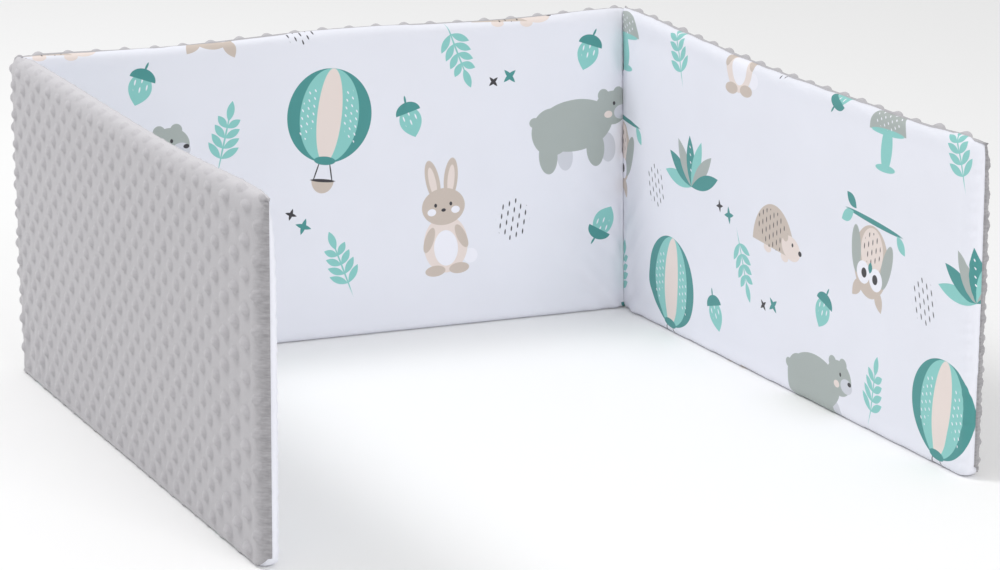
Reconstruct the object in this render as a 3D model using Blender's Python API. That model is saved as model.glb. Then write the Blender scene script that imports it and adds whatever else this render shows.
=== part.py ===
"""Crib bumper: three padded panels that stand on their long edges round three sides of a cot.

Each panel is a filled pad, faced with smooth cotton on the inside of the U, with a dotted plush
cloth sewn over its outside. The panels meet at two sewn folds. The two cloths meet in a seam that
runs along the crest, down the free ends and along the foot's outer edge.

Units are metres. +Z is up, +X runs along the back panel and the U opens towards -Y. The origin is
on the floor, under the middle of the whole.
"""

import collections
import math

import bmesh
import bpy
from mathutils import Matrix, Vector

# Panels
PANEL_LENGTH = 0.600
PANEL_HEIGHT = 0.304
LEFT_TURN_DEG = 3.2  # the left panel closes in towards the right one
RIGHT_SPLAY_DEG = 5.4  # the right panel opens outwards

# Padding
RIM_THICKNESS = 0.0215  # the wall at its sewn edges, with the plush
INNER_CROWN = 0.0035  # how far the cotton face swells past its edges
OUTER_CROWN = 0.0030
CROWN_FLATNESS_ALONG = 3.0  # higher keeps a face flatter in its middle and rounder at its edges
CROWN_FLATNESS_UP = 2.5
FOOT_RADIUS = 0.0045  # the foot is flat between two small rounded edges
FOOT_TUCK = 0.0110  # how far a fold's outer corner draws in towards the floor
FOOT_TUCK_HEIGHT = 0.120

# Sewn folds
CREASE_DEPTH = 0.0030  # the cotton dips this far into the fold
CREASE_WIDTH = 0.0120
FOLD_GROOVE = 0.0012  # the plush dips this far where the fold is stitched

# Free ends
NOSE_LENGTH = 0.0120  # a free end rounds off over this length
CORNER_DROP = 0.0015
CORNER_LIFT = 0.0140
PINCH = 0.50  # the share of the thickness lost in a free end's top corner
PINCH_ALONG = 0.030
PINCH_DOWN = 0.040

# Cloth
PLUSH_THICKNESS = 0.0033  # backing, pile and raised dots together
SEAM_SHARE = 0.45  # how much of that thickness is left in a seam
SEAM_DIP = 0.0007
GAP = 0.0003

# How finely the shape is stepped
BODY_STEPS = 16
FACE_ROWS = 9
FOLD_STEPS = 3
MERGE_DISTANCE = 1e-6
SHARP_FROM_DEG = 40

# The four upright edges of the U, from the left free end round to the right one. The leans say
# how far the top stands to the right of the foot, and how far behind it.
Post = collections.namedtuple("Post", "name height lean_right lean_back")
POSTS = (
    Post("left_end", 0.3085, 0.0015, 0.0060),
    Post("left_fold", 0.3040, -0.0040, 0.0005),
    Post("right_fold", 0.3085, -0.0060, 0.0035),
    Post("right_end", 0.2975, -0.0050, -0.0045),
)

# Where each panel's crest sags or stands up between its two posts: share of its length, and lift.
CRESTS = {
    "left": ((0.0, 0.0), (0.38, -0.0050), (1.0, 0.0)),
    "back": ((0.0, 0.0), (0.22, -0.0030), (0.50, 0.0015), (0.80, -0.0025), (1.0, 0.0)),
    "right": ((0.0, 0.0), (0.42, -0.0045), (0.80, -0.0010), (0.97, 0.0045), (1.0, 0.0040)),
}

# Where the wall is stepped near a free end, from the end inwards: degrees round its nose, and
# then distances from the end. And near a fold: shares of the crease's width.
NOSE_ANGLES = (68, 58, 45, 25, 0)
NOSE_STEPS = (0.026, 0.044)
CREASE_STEPS = (0.0, 0.35, 1.0)

# Corners of the wall's outline, from the foot round the outside, over the crest and down the
# inside. Angles are degrees round the foot's or the crest's rounding, and cover is the share of
# the plush's thickness that lies there, 0 where the cotton shows.
Corner = collections.namedtuple("Corner", "place value cover")
OUTLINE = (
    [Corner("outer_foot", -90, 0), Corner("outer_foot", -62, 0)]
    + [Corner("outer_foot", -45, SEAM_SHARE), Corner("outer_foot", 0, 1)]
    + [Corner("outer_face", row / FACE_ROWS, 1) for row in range(1, FACE_ROWS)]
    + [Corner("crest", 0, 1), Corner("crest", 38, 1)]
    + [Corner("crest", 72, 0.85), Corner("crest", 100, SEAM_SHARE)]
    + [Corner("crest", angle, 0) for angle in (110, 127, 144, 162, 180)]
    + [Corner("inner_face", row / FACE_ROWS, 0) for row in range(FACE_ROWS - 1, 0, -1)]
    + [Corner("inner_foot", angle, 0) for angle in (180, 225, 270)]
)
PLUSH_CORNERS = [number for number, corner in enumerate(OUTLINE) if corner.cover]

# Colours, as linear red, green and blue
COTTON_WHITE = (0.83, 0.84, 0.89)
PLUSH_GREY = (0.52, 0.50, 0.52)

# A panel between two posts. A fold is the angle by which the outward normal still turns past that
# end, up to the plane where it meets the next panel, and it is 0 at a free end.
Panel = collections.namedtuple("Panel", "name start end normal start_fold end_fold first last")

# One upright section of a panel: how far along it stands, how far its outward normal is turned,
# and how much of the thickness is left there.
Station = collections.namedtuple("Station", "along turn keep")


def turned(vector, angle):
    """A flat vector turned anticlockwise, seen from above."""
    return Matrix.Rotation(angle, 2) @ vector


def eased(rows, share):
    """The value at a share of the way through rows of (share, value), eased from row to row."""
    for (here, value), (there, next_value) in zip(rows, rows[1:]):
        if share <= there:
            ease = (1 - math.cos(math.pi * (share - here) / (there - here))) / 2
            return value + (next_value - value) * ease
    return rows[-1][1]


def post_feet():
    """The foot of each post on the floor, before the whole is centred."""
    turn, splay = math.radians(LEFT_TURN_DEG), math.radians(RIGHT_SPLAY_DEG)
    left_fold = Vector((-PANEL_LENGTH / 2, 0.0))
    right_fold = Vector((PANEL_LENGTH / 2, 0.0))
    left_end = left_fold + PANEL_LENGTH * Vector((math.sin(turn), -math.cos(turn)))
    right_end = right_fold + PANEL_LENGTH * Vector((math.sin(splay), -math.cos(splay)))
    return left_end, left_fold, right_fold, right_end


def make_panels():
    """The three panels from left to right, each cut half a gap short at its folds."""
    feet = post_feet()
    ways = [(end - start).normalized() for start, end in zip(feet, feet[1:])]
    normals = [Vector((-way.y, way.x)) for way in ways]
    half_folds = [0.0]
    for normal, next_normal in zip(normals, normals[1:]):
        half_folds.append(normal.angle(next_normal) / 2)
    half_folds.append(0.0)
    panels = []
    for number, name in enumerate(CRESTS):
        start_fold, end_fold = half_folds[number], half_folds[number + 1]
        start, end = feet[number].copy(), feet[number + 1].copy()
        if start_fold:
            start += ways[number] * GAP / 2 / math.cos(start_fold)
        if end_fold:
            end -= ways[number] * GAP / 2 / math.cos(end_fold)
        panels.append(
            Panel(
                name, start, end, normals[number], start_fold, end_fold,
                POSTS[number], POSTS[number + 1],
            )
        )
    return panels


def end_stations(fold):
    """Stations from a panel's end inwards, as distances from that end."""
    if fold:
        turns = [fold * (1 - step / FOLD_STEPS) for step in range(FOLD_STEPS)]
        wedge = [Station(0.0, turn, 1.0) for turn in turns]
        return wedge + [Station(CREASE_WIDTH * step, 0.0, 1.0) for step in CREASE_STEPS]
    nose = [math.radians(degrees) for degrees in NOSE_ANGLES]
    stations = [Station(NOSE_LENGTH * (1 - math.sin(angle)), 0.0, math.cos(angle)) for angle in nose]
    return stations + [Station(from_end, 0.0, 1.0) for from_end in NOSE_STEPS]


def panel_stations(panel):
    length = (panel.end - panel.start).length
    first = end_stations(panel.start_fold)
    last = [
        Station(length - station.along, -station.turn, station.keep)
        for station in reversed(end_stations(panel.end_fold))
    ]
    begin, finish = first[-1].along, last[0].along
    body = [
        Station(begin + (finish - begin) * step / BODY_STEPS, 0.0, 1.0)
        for step in range(1, BODY_STEPS)
    ]
    return first + body + last


def pinch_at(panel, along, height, crest):
    """How much of the thickness is left near a free end's top corner."""
    length = (panel.end - panel.start).length
    down = math.exp(-(((crest - height) / PINCH_DOWN) ** 2))
    keep = 1.0
    for fold, from_end in ((panel.start_fold, along), (panel.end_fold, length - along)):
        if not fold:
            keep -= PINCH * down * math.exp(-((from_end / PINCH_ALONG) ** 2))
    return keep


def crease_at(panel, along):
    """How far the cotton face dips towards the nearest fold, from 0 to 1."""
    length = (panel.end - panel.start).length
    dip = 0.0
    for fold, from_end in ((panel.start_fold, along), (panel.end_fold, length - along)):
        if fold and from_end < CREASE_WIDTH:
            dip = max(dip, (1 - from_end / CREASE_WIDTH) ** 2)
    return dip


def outline_at(panel, station):
    """The wall's outline at a station, as points (across, height). Across is from the middle."""
    length = (panel.end - panel.start).length
    share = min(max(station.along / length, 0.0), 1.0)
    crest = panel.first.height + (panel.last.height - panel.first.height) * share
    crest += eased(CRESTS[panel.name], share)
    half = RIM_THICKNESS / 2 * station.keep
    low = CORNER_LIFT * (1 - station.keep)
    high = crest - CORNER_DROP * (1 - station.keep)
    foot_radius = min(FOOT_RADIUS, half)
    face_low, face_high = low + foot_radius, high - half
    swell_along = 1 - abs(2 * share - 1) ** CROWN_FLATNESS_ALONG
    crease = crease_at(panel, station.along)
    folding = abs(station.turn) / max(panel.start_fold, panel.end_fold)
    points = []
    for corner in OUTLINE:
        angle = math.radians(corner.value)
        if corner.place == "crest":
            across, height = half * math.cos(angle), face_high + half * math.sin(angle)
        elif corner.place == "outer_foot":
            across = half - foot_radius + foot_radius * math.cos(angle)
            height = face_low + foot_radius * math.sin(angle)
        elif corner.place == "inner_foot":
            across = foot_radius - half + foot_radius * math.cos(angle)
            height = face_low + foot_radius * math.sin(angle)
        else:
            across = half if corner.place == "outer_face" else -half
            height = face_low + (face_high - face_low) * corner.value
        level = (height - low) / (high - low)
        swell = swell_along * (1 - abs(2 * level - 1) ** CROWN_FLATNESS_UP)
        if across > 0:
            tuck = FOOT_TUCK * max(0.0, 1 - height / FOOT_TUCK_HEIGHT) ** 2
            dip = FOLD_GROOVE * max(0.0, 2 * folding - 1) + tuck * folding
            across += (OUTER_CROWN * swell - dip) * across / half
        else:
            across -= (INNER_CROWN * swell - CREASE_DEPTH * crease) * -across / half
        across *= pinch_at(panel, station.along, height, crest)
        points.append(Vector((across, height)))
    return points


def inward(points, number):
    """The inward direction of the outline at one of its points."""
    before, after = points[number - 1], points[(number + 1) % len(points)]
    along = (after - before).normalized()
    return Vector((-along.y, along.x))


def placed(panel, station, point):
    """The point in space of (across, height) at a station."""
    length = (panel.end - panel.start).length
    share = station.along / length
    foot = panel.start.lerp(panel.end, share)
    first_lean = Vector((panel.first.lean_right, panel.first.lean_back))
    last_lean = Vector((panel.last.lean_right, panel.last.lean_back))
    lean = first_lean.lerp(last_lean, share) * point.y / PANEL_HEIGHT
    spot = foot + lean + turned(panel.normal, station.turn) * (RIM_THICKNESS / 2 + point.x)
    return Vector((spot.x, spot.y, point.y))


def thinned(panel, station, points):
    """How much of a cloth's thickness is left at each corner of the outline, by a free end."""
    crest = max(point.y for point in points)
    keep = max(station.keep, SEAM_SHARE)
    return [keep * pinch_at(panel, station.along, point.y, crest) for point in points]


def seam_dips(panel, station, points):
    """The outline drawn in along the crest's seam, where the two cloths meet."""
    drawn = [point.copy() for point in points]
    keeps = thinned(panel, station, points)
    for number, corner in enumerate(OUTLINE):
        on_seam = corner.cover == SEAM_SHARE
        beside = OUTLINE[number - 1].cover == SEAM_SHARE and not corner.cover
        if corner.place == "crest" and (on_seam or beside):
            drawn[number] += inward(points, number) * SEAM_DIP * keeps[number] ** 2
    return drawn


def plush_depths(panel, station, points):
    """How thick the plush lies at each corner of the outline."""
    keeps = thinned(panel, station, points)
    return [PLUSH_THICKNESS * corner.cover * keep for corner, keep in zip(OUTLINE, keeps)]


def pad_section(panel, station):
    """The filled pad's outline: on the cotton side the wall's own, under the plush set back."""
    points = outline_at(panel, station)
    depths = plush_depths(panel, station, points)
    # The surface slants where a free end rounds off and twists where a fold turns.
    gap = GAP * (1 + abs(station.turn)) / station.keep
    section = []
    for number, point in enumerate(seam_dips(panel, station, points)):
        if depths[number]:
            point = point + inward(points, number) * (depths[number] + gap)
        section.append(placed(panel, station, point))
    return section


def plush_section(panel, station):
    """The plush's outline: out along the wall's outside, and back along its own underside."""
    points = outline_at(panel, station)
    depths = plush_depths(panel, station, points)
    drawn = seam_dips(panel, station, points)
    outside = [placed(panel, station, drawn[number]) for number in PLUSH_CORNERS]
    underside = []
    for number in reversed(PLUSH_CORNERS):
        point = drawn[number] + inward(points, number) * depths[number]
        underside.append(placed(panel, station, point))
    return outside + underside


def lofted(name, sections, turns_back, material, collection):
    """A closed body through a row of sections: a grid wrapped round them, with both ends filled.

    The sections double back on themselves after turns_back points. From there the quads are split
    the other way, so that two cloths that lie on each other bend along the same lines.
    """
    around = len(sections[0])
    mesh = bpy.data.meshes.new(name)
    body = bmesh.new()
    bmesh.ops.create_grid(body, x_segments=around, y_segments=len(sections) - 1, size=1.0)
    body.verts.ensure_lookup_table()
    there = [face for face in body.faces if face.index % around < turns_back]
    back = [face for face in body.faces if face.index % around >= turns_back]
    bmesh.ops.triangulate(body, faces=there, quad_method="FIXED")
    bmesh.ops.triangulate(body, faces=back, quad_method="ALTERNATE")
    for row, section in enumerate(sections):
        for column in range(around + 1):
            body.verts[row * (around + 1) + column].co = section[column % around]
    bmesh.ops.remove_doubles(body, verts=body.verts, dist=MERGE_DISTANCE)
    rims = [edge for edge in body.edges if edge.is_boundary]
    bmesh.ops.holes_fill(body, edges=rims, sides=0)
    bmesh.ops.recalc_face_normals(body, faces=body.faces)
    body.to_mesh(mesh)
    body.free()
    mesh.shade_smooth()
    mesh.set_sharp_from_angle(angle=math.radians(SHARP_FROM_DEG))
    mesh.materials.append(material)
    solid = bpy.data.objects.new(name, mesh)
    collection.objects.link(solid)
    return solid


def cloth_material(name, colour, roughness):
    material = bpy.data.materials.new(name)
    material.use_nodes = True
    shader = material.node_tree.nodes["Principled BSDF"]
    shader.inputs["Base Color"].default_value = (*colour, 1.0)
    shader.inputs["Roughness"].default_value = roughness
    shader.inputs["Metallic"].default_value = 0.0
    return material


def centred(solids, collection):
    """Parents the pieces to one empty, which sets the middle of their footprint on the origin."""
    corners = [vertex.co for solid in solids for vertex in solid.data.vertices]
    middle = [(min(axis) + max(axis)) / 2 for axis in zip(*corners)]
    whole = bpy.data.objects.new("crib_bumper", None)
    whole.location = (-middle[0], -middle[1], 0.0)
    collection.objects.link(whole)
    for solid in solids:
        solid.parent = whole
    return whole


def main():
    for old in list(bpy.data.objects):
        bpy.data.objects.remove(old, do_unlink=True)
    collection = bpy.data.collections.new("crib_bumper")
    bpy.context.scene.collection.children.link(collection)
    cotton = cloth_material("cotton", COTTON_WHITE, 0.85)
    plush = cloth_material("plush", PLUSH_GREY, 0.95)
    solids = []
    for panel in make_panels():
        stations = panel_stations(panel)
        pad = [pad_section(panel, station) for station in stations]
        solids.append(lofted("pad_" + panel.name, pad, len(OUTLINE), cotton, collection))
        cover = [plush_section(panel, station) for station in stations]
        outside = len(PLUSH_CORNERS)
        solids.append(lofted("plush_" + panel.name, cover, outside, plush, collection))
    centred(solids, collection)


main()
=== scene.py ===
"""Crib bumper, dressed: three filled cotton pads, three dotted plush covers and a plain studio.

Units are metres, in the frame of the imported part: +Z is up, +X runs along the back panel and the U
opens towards -Y. Each panel has its own directions: along it, seen from inside the U, and outwards.
"""

import collections
import math

import bmesh
import bpy
import numpy as np
from mathutils import Matrix, Vector
from mathutils.bvhtree import BVHTree


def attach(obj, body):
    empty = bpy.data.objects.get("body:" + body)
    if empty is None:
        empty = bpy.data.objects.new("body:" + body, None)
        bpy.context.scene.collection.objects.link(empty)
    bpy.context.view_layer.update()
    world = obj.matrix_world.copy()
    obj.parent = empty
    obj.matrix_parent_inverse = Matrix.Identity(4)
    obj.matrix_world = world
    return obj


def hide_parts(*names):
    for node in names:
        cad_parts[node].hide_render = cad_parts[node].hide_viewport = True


bl_info = {
    "name": "Crib bumper",
    "version": (1, 0, 0),
    "blender": (4, 5, 0),
    "location": "3D View > Sidebar > Crib Bumper",
    "description": "Dresses the three panels of a standing crib bumper in cotton and dotted plush",
    "category": "Object",
}

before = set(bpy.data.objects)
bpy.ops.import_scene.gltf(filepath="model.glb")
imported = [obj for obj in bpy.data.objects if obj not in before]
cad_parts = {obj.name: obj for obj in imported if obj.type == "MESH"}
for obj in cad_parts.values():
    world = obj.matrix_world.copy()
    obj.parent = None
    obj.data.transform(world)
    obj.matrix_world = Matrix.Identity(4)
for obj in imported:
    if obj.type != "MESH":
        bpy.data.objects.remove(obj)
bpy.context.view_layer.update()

# The part's own sizes.
QUARTER = math.pi / 2
LEFT_TURN = math.radians(3.2)
RIGHT_SPLAY = math.radians(5.4)
PANEL_LENGTH = 0.600
PANEL_HEIGHT = 0.304
RIM_THICKNESS = 0.0215
NOSE_LENGTH = 0.0120
FOOT_RADIUS = 0.0045
CORNER_LIFT = 0.0140
LEFT_FOLD = Vector((-0.3257, 0.2871, 0.0))
RIGHT_FOLD = Vector((0.2743, 0.2871, 0.0))

# How far the top of each upright edge of the U stands from its foot.
LEFT_END_LEAN = Vector((0.0015, 0.0060, 0.0))
LEFT_FOLD_LEAN = Vector((-0.0040, 0.0005, 0.0))
RIGHT_FOLD_LEAN = Vector((-0.0060, 0.0035, 0.0))
RIGHT_END_LEAN = Vector((-0.0050, -0.0045, 0.0))

# A panel: where its inner face starts on the floor, the turn of its outward side from +Y, how far
# the outside turns on at each fold (0 at a free end), how its two ends lean, where the print is
# cut, and how far over the crest the plush reaches.
Panel = collections.namedtuple(
    "Panel", "name start turn start_fold end_fold start_lean end_lean cut crest_turn"
)
PANELS = (
    Panel(
        "left", LEFT_FOLD + PANEL_LENGTH * Vector((math.sin(LEFT_TURN), -math.cos(LEFT_TURN), 0)),
        QUARTER + LEFT_TURN, 0.0, (QUARTER + LEFT_TURN) / 2, LEFT_END_LEAN, LEFT_FOLD_LEAN,
        (0.238, 0.361), math.radians(128),
    ),
    Panel(
        "back", LEFT_FOLD, 0.0, (QUARTER + LEFT_TURN) / 2, (QUARTER - RIGHT_SPLAY) / 2,
        LEFT_FOLD_LEAN, RIGHT_FOLD_LEAN, (0.0, 0.0), math.radians(100),
    ),
    Panel(
        "right", RIGHT_FOLD, RIGHT_SPLAY - QUARTER, (QUARTER - RIGHT_SPLAY) / 2, 0.0,
        RIGHT_FOLD_LEAN, RIGHT_END_LEAN, (0.19, 0.17), math.radians(100),
    ),
)

# How far round each edge the plush reaches.
NOSE_TURN = math.radians(68)
CAP_REACH = 0.0052  # over a free end's flat tip, from the nose's last turn
CAP_PAST = 0.0012  # past the tip's middle
TIP_DROP = 0.0035  # how far the cover's corner lies below the crest there
SEAM_DEPTH = 0.0025  # a ray that goes in further has slipped into the seam
FOOT_TURN = math.radians(48)
MITRE_CLEARANCE = math.radians(0.2)  # how far the cover's last column turns short of a fold
MITRE_GAP = 0.00022  # between a panel's end and the plane of its fold
OVER_CREST = math.radians(115)  # a cover that turns further stands proud of the crest there

# Plush
DOT_PITCH = 0.0140  # half the distance between two dots of a row, and the distance of two rows
DOT_STEPS = 8  # grid cells in that pitch
GRID_SMOOTHINGS = 8
DOT_RADIUS = 0.0060
DOT_ROUNDNESS = 0.8
DOT_TALL = (0.86, 1.08)  # the dots' heights vary between these shares
DOT_SLIP = 0.0007  # the furthest that a dot lies beside its place
DOT_KINDS = 80  # rows and columns after which heights and slips come round again
DOT_SQUAT = 0.86  # a dot's height on the cloth over its width
LAST_DOT_ROW = math.radians(70)  # the top row's turn over the crest
FIRST_DOT_COLUMN = 0.0145  # how far over the cloth from a panel's free start
FOLD_DOTS = (0.001, 0.008)  # the dots fade in between these distances from a fold
END_DOTS = (0.75, 0.009)  # how much of them is lost in a free end's seam, and how far from it
END_STRETCH = 0.50  # how much further apart the dots stand near a free end
END_STRETCH_FROM = (0.004, 0.022)
END_STRETCH_TO = (0.075, 0.125)
END_WIDER = 0.8  # the share of that stretch by which they are wider
END_TALLER = 0.9  # and higher
END_GATHER = 0.014  # how far from a free end its seam gathers the pile into folds, which are darkened with painted shade
SEAM_FADE = 0.005  # how far from the cover's rim its relief is whole
SEAM_SUNK = 0.2  # how deep the rim lies in the CAD model, as a share of the dots' height
TIP_LIFT = 0.0014  # how far the plush's seam stands on the cotton at a free end
CREST_LIFT = 0.0010  # and at the crest, where it turns past OVER_CREST
LIFT_FADE = (0.004, 0.012)  # the lift ends between these distances from the seam
TIP_LIFT_TOP = (0.032, 0.018)  # and a free end's lift between these distances below the crest's
PROUD = 0.0006  # how far the tallest dots stand out past the CAD model
NORMAL_REACH = 3  # cells from a border, where the border's own normals are read
SKIRT_DEPTH = 0.0022  # how far the cover's last cells are turned in
CREST_BAND = 0.016  # how far down from the seam the crest's plush carries a painted highlight
CREST_PALE = 0.1  # how much of that shows where the cover doesn't turn past OVER_CREST

# Cotton
TUCK_UNDER = 0.0015  # how far the cotton is drawn in under the plush
TUCK_CREST = (PANEL_HEIGHT - 0.030, PANEL_HEIGHT - 0.015)  # where the ends' seam becomes the crest's
TUCK_ACROSS = (-0.0004, 0.0022)  # from the seam
TUCK_UP = (0.0015, 0.0035)  # from the floor
FOLD_NEAR = 0.001  # a corner of the CAD pad this near a fold's plane belongs to its cut end
FOLD_SPARE = 0.012  # how far that end is drawn out before it is cut
SAME_POINT = 1e-6
SHORT_EDGE = 0.0008  # shorter edges would keep the cloth simulation from moving
FILLING_FRAMES = 20
FILLING_FADE = 0.2  # the filling fades out below this share of the open face

# Where the open cotton face begins: along from its ends, up from the floor, and up to the crest;
# and how far behind the face it ends.
FACE_ENDS = (0.002, 0.035)
FACE_FOOT = (0.004, 0.035)
FACE_CREST = (0.262, 0.300)
FACE_DEPTH = (0.004, 0.009)

# Puckers and drag lines: wavelengths, how far from their edge they reach, and how high they stand.
Ripple = collections.namedtuple("Ripple", "waves reach height")
CREST_PUCKER = Ripple((0.0071, 0.0093, 0.0128), 0.012, 0.00035)
FOLD_PUCKER = Ripple((0.0083, 0.0117, 0.0171), 0.010, 0.00022)
END_PUCKER = Ripple((0.0083, 0.0117, 0.0171), 0.013, 0.0009)
FOLD_DRAG = Ripple((0.031, 0.047, 0.083), 0.055, 1.0)
FOLD_DRAG_HEIGHT = (0.0007, 0.0017)  # everywhere, and more by this at the foot
FOLD_DRAG_FOOT = (0.05, 0.17)
FOLD_DRAG_FROM = 0.006
PUCKER_DEPTH = (0.012, 0.018)  # how far behind the cotton face they end
BROAD_WAVES = ((0.11, 0.17, 0.29), (0.13, 0.21))
BROAD_HEIGHT = 0.00035
COVER_DRAG = Ripple((0.0155, 0.0215, 0.034), 0.12, 0.0011)
COVER_DRAG_UP = 0.11
COVER_PUCKER = Ripple((0.0041, 0.0062, 0.0103), 0.014, 0.0010)
COVER_CREST = Ripple((0.0063, 0.0094, 0.0141), 0.006, 0.0003)
COVER_FADE = 0.006

# Past an edge of the face the print goes on by this share of the way behind it. The crest begins
# and the foot ends between these heights.
PRINT_TURN = 0.6
PRINT_CREST = (0.28, 0.30)
PRINT_FOOT = (0.0, 0.008)

RAY_START = 0.15  # how far outside the part a ray begins

# Studio
FLOOR_SIZE = 12.0
FLOOR_WHITE = (0.94, 0.94, 0.94, 1.0)
KEY_SIZE = 0.9
KEY_PLACE = Vector((-1.5, 0.9, 2.6))
FILL_SIZE = 1.5
FILL_PLACE = Vector((0.4, -3.0, 1.6))


def measure(name, description, default, **options):
    return bpy.props.FloatProperty(name=name, description=description, default=default, **options)


class CottonSettings(bpy.types.PropertyGroup):
    """The filled pads and their printed cotton."""

    voxel: measure("Voxel", "Grid size of the pads before they are filled", 0.0050, min=0.003, unit="LENGTH")
    pressure: measure("Filling", "How hard the wadding presses on the cotton", 4.0, min=0.0)
    slack: measure("Slack", "How far the face lies in before it is filled", 0.0024, unit="LENGTH")
    swell: measure("Swell", "The furthest that the wadding moves a point", 0.0040, unit="LENGTH")
    white: bpy.props.FloatVectorProperty(
        name="Ground", description="Colour of the unprinted cotton", subtype="COLOR",
        default=(0.825, 0.835, 0.905), min=0, max=1,
    )


class PlushSettings(bpy.types.PropertyGroup):
    """The dotted plush."""

    dot_height: measure("Dot height", "How far the dots stand out of the plush", 0.0032, unit="LENGTH")
    grey: bpy.props.FloatVectorProperty(
        name="Grey", description="Colour of the plush", subtype="COLOR",
        default=(0.480, 0.469, 0.490), min=0, max=1,
    )


class StageSettings(bpy.types.PropertyGroup):
    """Camera, floor and light."""

    lens: measure("Lens", "Focal length in millimetres", 131.34)
    camera_place: bpy.props.FloatVectorProperty(
        name="Camera", description="Where the camera stands", subtype="XYZ",
        default=(-1.1877, -2.9239, 1.0058), unit="LENGTH",
    )
    yaw: measure(
        "Yaw", "How far the camera looks to the right of +Y", math.radians(21.8825), subtype="ANGLE",
    )
    pitch: measure("Pitch", "How far the camera looks up", math.radians(-15.5469), subtype="ANGLE")
    roll: measure("Roll", "How far the camera leans", math.radians(0.4311), subtype="ANGLE")
    shift: bpy.props.FloatVectorProperty(
        name="Shift", description="The picture's middle from the lens axis", size=2,
        default=(0.0364, -0.0014),
    )
    key_power: measure("Key light", "Power of the soft light from the upper left", 33.0, unit="POWER")
    fill_power: measure("Fill light", "Power of the soft light from the front", 27.0, unit="POWER")
    daylight: measure("Daylight", "Strength of the light from all round", 0.71)


# Shader arithmetic


class Field:
    """A shader socket, with arithmetic that adds the nodes it needs."""

    def __init__(self, tree, socket):
        self.tree = tree
        self.socket = socket

    def node(self, kind, settings=None, inputs=None, output=0):
        """A new node of a type: settings first, then the values or links of its sockets."""
        made = self.tree.nodes.new(kind)
        for name, value in (settings or {}).items():
            setattr(made, name, value)
        for name, value in (inputs or {}).items():
            if isinstance(value, Field):
                self.tree.links.new(value.socket, made.inputs[name])
            else:
                made.inputs[name].default_value = value
        return Field(self.tree, made.outputs[output])

    def into(self, socket):
        self.tree.links.new(self.socket, socket)

    def math(self, operation, *values, clamp=False):
        settings = {"operation": operation, "use_clamp": clamp}
        return self.node("ShaderNodeMath", settings, dict(enumerate(values)))

    def vector(self, operation, *values, output=0):
        settings = {"operation": operation}
        return self.node("ShaderNodeVectorMath", settings, dict(enumerate(values)), output)

    def __add__(self, other):
        return self.math("ADD", self, other)

    def __sub__(self, other):
        return self.math("SUBTRACT", self, other)

    def __mul__(self, other):
        return self.math("MULTIPLY", self, other)

    def __truediv__(self, other):
        return self.math("DIVIDE", self, other)

    def size(self):
        return self.math("ABSOLUTE", self)

    def wave(self):
        return self.math("SINE", self)

    def most(self, other):
        return self.math("MAXIMUM", self, other)

    def scaled(self, factor, plus):
        """This times a factor plus a number, held between 0 and 1."""
        return self.math("MULTIPLY_ADD", self, factor, plus, clamp=True)

    def wrapped(self, limit):
        return self.math("WRAP", self, limit, -limit)

    def turned(self, degrees, centre=(0.0, 0.0, 0.0)):
        turn = {"Vector": self, "Center": centre, "Angle": math.radians(degrees)}
        return self.node("ShaderNodeVectorRotate", {"rotation_type": "Z_AXIS"}, turn)

    def part(self, x, y):
        """A vector's share along (x, y)."""
        return self.vector("DOT_PRODUCT", self, (x, y, 0.0), output=1)

    def length(self):
        return self.vector("LENGTH", self, output=1)

    def noise(self, scale, detail=2.0):
        """Noise at this place."""
        return self.node("ShaderNodeTexNoise", None, {"Vector": self, "Scale": scale, "Detail": detail})

    def mix(self, first, second):
        """The first colour where this mask is 0, the second where it is 1."""
        return self.node("ShaderNodeMix", {"data_type": "RGBA"}, {0: self, 6: first, 7: second}, output=2)


def new_material(name, constants):
    """A material, its shader with some constants set, and a starting point for its nodes."""
    material = bpy.data.materials.new(name)
    material.use_nodes = True
    shader = material.node_tree.nodes["Principled BSDF"]
    for socket, value in constants.items():
        shader.inputs[socket].default_value = value
    return material, shader, Field(material.node_tree, None)


def tinted(colour, share):
    """A colour for a socket, made lighter or darker."""
    return (*(part * share for part in colour), 1.0)


# The print


def ink(red, green, blue):
    """A printed colour, as it looks on a screen from 0 to 255, made linear for the shader."""
    linear = []
    for part in (red, green, blue):
        share = part / 255
        linear.append(share / 12.92 if share <= 0.04045 else ((share + 0.055) / 1.055) ** 2.4)
    return (*linear, 1.0)


INKS = {
    "teal": ink(78, 148, 146),
    "mint": ink(140, 203, 198),
    "sage": ink(170, 178, 175),
    "beige": ink(203, 190, 180),
    "blush": ink(232, 219, 213),
    "white": ink(240, 240, 248),
    "mist": ink(208, 210, 218),
    "charcoal": ink(66, 64, 68),
}
INK_EDGE = 0.035  # how softly a printed edge ends, in centimetres
REPEAT = (46.0, 38.0)  # the print repeats after this many centimetres across and up
SHADED = 0.955  # how light the cotton is where its tone is darkest
THREAD_PITCH = 0.05

# Printed dashes and dots: the grid that they stand in, and their half sizes, in centimetres.
DASH_CELL = (0.62, 0.95)
DASH_SIZE = (0.075, 0.26)
SPECK_CELL = (0.55, 0.75)
SPECK_SIZE = (0.10, 0.10)
CELL_SHEAR = 0.9  # how far the grid's rows climb from cell to cell

# One mark of a motif, in centimetres from the motif's middle: its shape, ink, place, half sizes,
# turn in degrees, and whether its mirror image is printed too. Later marks cover earlier ones.
Mark = collections.namedtuple("Mark", "shape ink x y across up turn both", defaults=(0, False))


def motif(*parts):
    """Marks, each a tuple of its numbers, after a text with the shape and ink of those that follow."""
    drawn = []
    for part in parts:
        if isinstance(part, str):
            shape, colour, *both = part.split()
        else:
            place, turn = part[:4], part[4:] or (0,)
            drawn.append(Mark(shape, colour, *place, *turn, bool(both)))
    return drawn


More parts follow.
